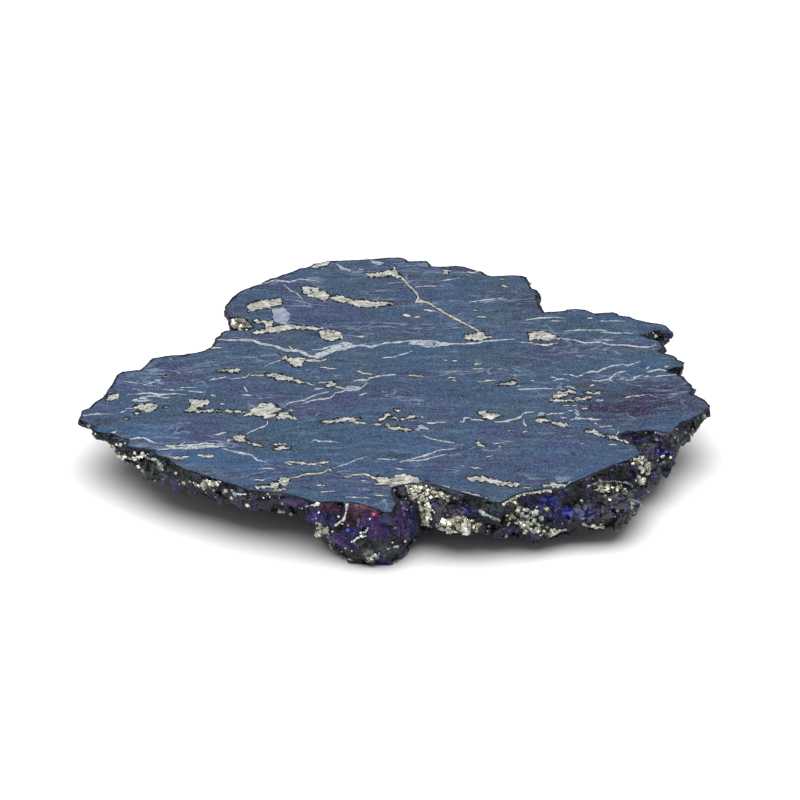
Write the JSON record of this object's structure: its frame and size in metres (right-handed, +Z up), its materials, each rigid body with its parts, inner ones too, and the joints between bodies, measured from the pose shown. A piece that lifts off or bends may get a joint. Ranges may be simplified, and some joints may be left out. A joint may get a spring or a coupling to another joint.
{
  "type": "covellite specimen slab",
  "caption": "Thin broken slab of covellite with pyrite, flat polished upper face, rough rim and underside, lying level on three low natural feet.",
  "frame": {"origin": "middle of the slab's bounding box, at the height of the surface that it lies on", "axes": "+X along the slab's longest extent, to the right as it is shown; +Y to its back; +Z up, out of the polished face"},
  "size_m": [0.1098, 0.0976, 0.0105],
  "materials": {
    "covellite": "indigo blue mineral with a submetallic polish on the upper face, cream pyrite inclusions, rough dark broken rim"
  },
  "bodies": {
    "root": {"covellite_slab": "covellite"}
  },
  "joints": []
}
